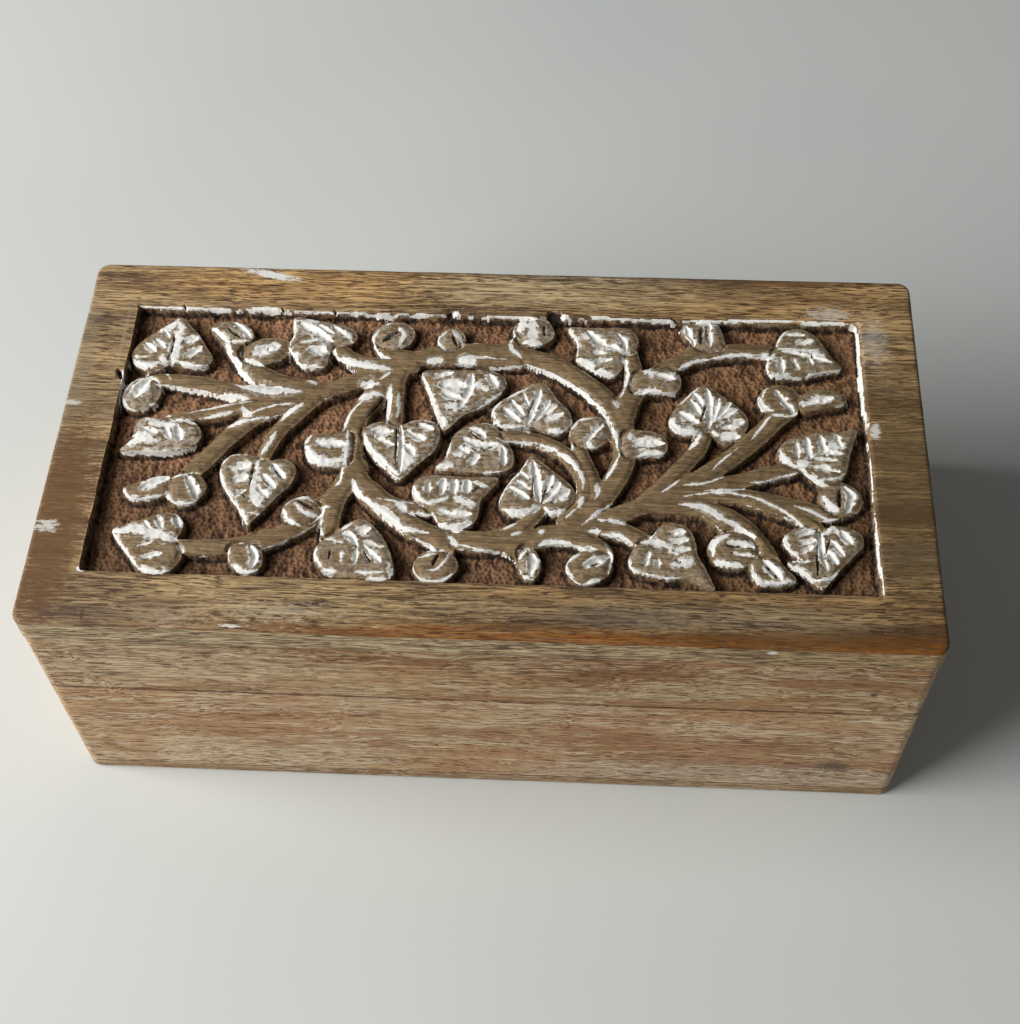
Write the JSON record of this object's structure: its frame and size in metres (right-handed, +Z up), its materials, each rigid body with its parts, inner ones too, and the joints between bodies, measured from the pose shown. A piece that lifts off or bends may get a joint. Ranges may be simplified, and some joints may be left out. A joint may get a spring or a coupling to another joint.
{
  "type": "keepsake box",
  "caption": "Oblong wooden box with a deep hinged lid whose top is a board carved in relief with vines, heart-shaped leaves and buds, rubbed with whitewash.",
  "frame": {"origin": "centre of the underside", "axes": "+X along the length, to the right seen from the front; +Y towards the hinges at the back; +Z up"},
  "size_m": [0.203, 0.1046, 0.0746],
  "materials": {
    "carved_panel": "walnut-brown stained mango wood, whitewashed in the carving, dull oil finish",
    "side_wood": "natural mango wood with short dark grain marks, dull",
    "bottom_board": "thin brown board, dull",
    "felt": "dark red felt",
    "brass": "aged brass"
  },
  "bodies": {
    "base": {"base_front_board": "side_wood", "base_back_board": "side_wood", "base_left_board": "side_wood", "base_right_board": "side_wood", "base_bottom_board": "bottom_board", "base_lining": "felt", "hinge_left_base_leaf": "brass", "hinge_right_base_leaf": "brass", "hinge_left_pin": "brass", "hinge_right_pin": "brass", "base_hinge_screws": "brass"},
    "lid": {"lid_panel": "carved_panel", "lid_front_rail": "side_wood", "lid_back_rail": "side_wood", "lid_left_rail": "side_wood", "lid_right_rail": "side_wood", "lid_lining": "felt", "hinge_left_lid_leaf": "brass", "hinge_right_lid_leaf": "brass", "lid_hinge_screws": "brass"}
  },
  "joints": [
    {"name": "lid_hinge", "type": "hinge", "parent": "base", "child": "lid", "pos_m": [0, 0.04975, 0.04425], "axis": [-1, 0, 0], "range_deg": [0, 105]}
  ]
}
